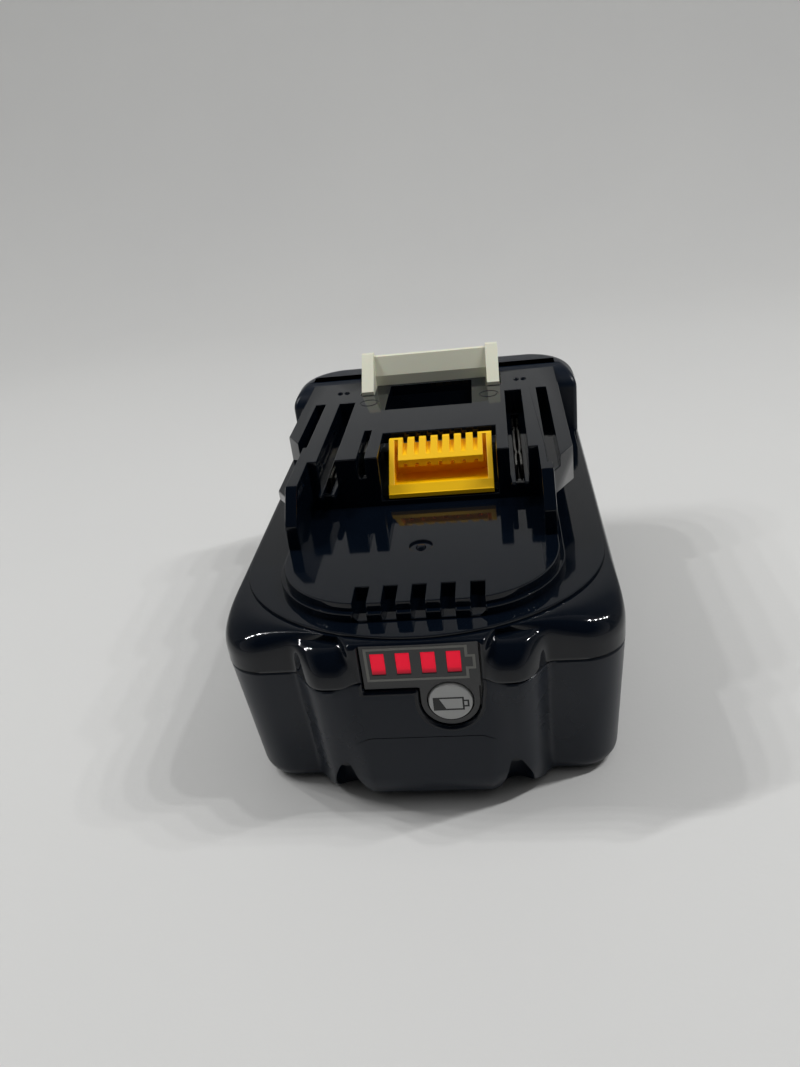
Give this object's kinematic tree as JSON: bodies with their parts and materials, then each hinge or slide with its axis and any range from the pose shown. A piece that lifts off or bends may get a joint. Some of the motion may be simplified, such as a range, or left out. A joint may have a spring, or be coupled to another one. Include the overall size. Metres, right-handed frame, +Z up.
{
  "type": "power tool battery pack",
  "caption": "Slide-on rechargeable battery pack for cordless tools, with a rail block, sprung latch, charge gauge with check button and a two-part moulded case.",
  "frame": {"origin": "middle of the base of the case, on the surface that the pack stands on", "axes": "+Z up from the base to the rails, +Y along the rails from the charge gauge to the latch, +X to the right seen from the gauge side"},
  "size_m": [0.075, 0.1145, 0.0634],
  "materials": {
    "case_plastic": "fine moulded texture, satin black",
    "cover_plastic": "polished mould, gloss black",
    "lens_plastic": "smooth black with a grey printed outline",
    "window_plastic": "clear red diffuser",
    "button_plastic": "silver coated, satin",
    "plunger_plastic": "moulded white",
    "latch_plastic": "moulded light grey, satin",
    "plug_plastic": "moulded yellow, semi-gloss",
    "spring_steel": "drawn wire",
    "clip_metal": "tinned copper alloy",
    "pin_metal": "gold flash",
    "board_laminate": "glass laminate under green solder mask",
    "component_plastic": "moulded black epoxy",
    "led_package": "white package",
    "ribbon_film": "polyimide film",
    "screw_steel": "zinc plated",
    "cell_wrap": "shrink sleeve",
    "frame_plastic": "moulded dark grey",
    "strip_nickel": "rolled nickel strip",
    "insulator_paper": "fibre insulating paper"
  },
  "bodies": {
    "pack": {"lower_case": "case_plastic", "upper_cover": "cover_plastic", "gauge_lens": "lens_plastic", "led_windows": "window_plastic", "check_switch": "component_plastic", "gauge_board": "board_laminate", "gauge_leds": "led_package", "gauge_ribbon": "ribbon_film", "latch_spring_left": "spring_steel", "latch_spring_right": "spring_steel", "terminal_positive": "clip_metal", "terminal_negative": "clip_metal", "sense_terminal": "clip_metal", "signal_connector": "plug_plastic", "signal_pins": "pin_metal", "control_board": "board_laminate", "board_components": "component_plastic", "board_screws": "screw_steel", "board_tray": "frame_plastic", "cell_01": "cell_wrap", "cell_02": "cell_wrap", "cell_03": "cell_wrap", "cell_04": "cell_wrap", "cell_05": "cell_wrap", "cell_06": "cell_wrap", "cell_07": "cell_wrap", "cell_08": "cell_wrap", "cell_09": "cell_wrap", "cell_10": "cell_wrap", "cell_frame_left": "frame_plastic", "cell_frame_right": "frame_plastic", "bus_plate_1": "strip_nickel", "bus_plate_2": "strip_nickel", "bus_plate_3": "strip_nickel", "bus_plate_4": "strip_nickel", "bus_plate_5": "strip_nickel", "bus_plate_6": "strip_nickel", "insulator_left": "insulator_paper", "insulator_right": "insulator_paper", "lead_positive": "strip_nickel", "lead_negative": "strip_nickel", "thermistor": "component_plastic", "case_screws": "screw_steel"},
    "latch": {"latch_hook": "latch_plastic", "release_button": "case_plastic"},
    "check": {"check_button": "button_plastic", "switch_plunger": "plunger_plastic"}
  },
  "joints": [
    {"name": "latch_slide", "type": "slide", "parent": "pack", "child": "latch", "axis": [0, 0, 1], "range_m": [-0.005, 0], "stiffness_N_per_m": 900, "springref_m": 0.004, "deforming": ["latch_spring_left", "latch_spring_right"]},
    {"name": "check_press", "type": "slide", "parent": "pack", "child": "check", "axis": [0, 1, 0], "range_m": [0, 0.0006], "stiffness_N_per_m": 1500, "springref_m": -0.0004}
  ]
}
